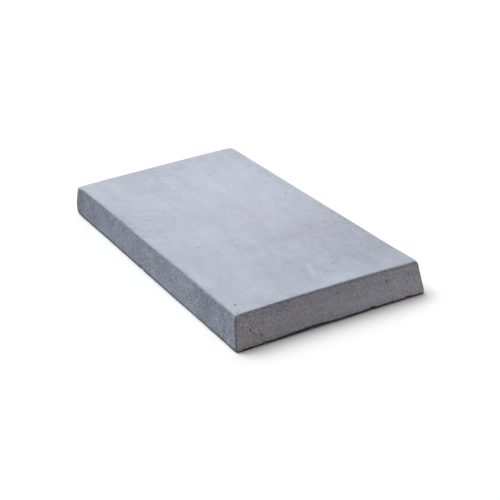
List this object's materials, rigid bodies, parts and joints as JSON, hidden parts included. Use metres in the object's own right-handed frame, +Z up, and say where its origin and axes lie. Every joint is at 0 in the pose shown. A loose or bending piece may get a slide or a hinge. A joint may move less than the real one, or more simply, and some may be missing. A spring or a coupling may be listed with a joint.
{
  "type": "concrete paver",
  "caption": "Rectangular cast concrete paving slab, twice as long as wide, with a flat walking face, inward-leaning sides and eased edges.",
  "frame": {"origin": "middle of the underside, on the ground that the slab lies on", "axes": "+X along the slab's length, +Y across its width, +Z up, out of the walking face"},
  "size_m": [0.6, 0.3, 0.05],
  "materials": {
    "concrete": "fair-faced cast concrete, matt, bluish light grey with fine pinholes"
  },
  "bodies": {
    "root": {"paver": "concrete"}
  },
  "joints": []
}
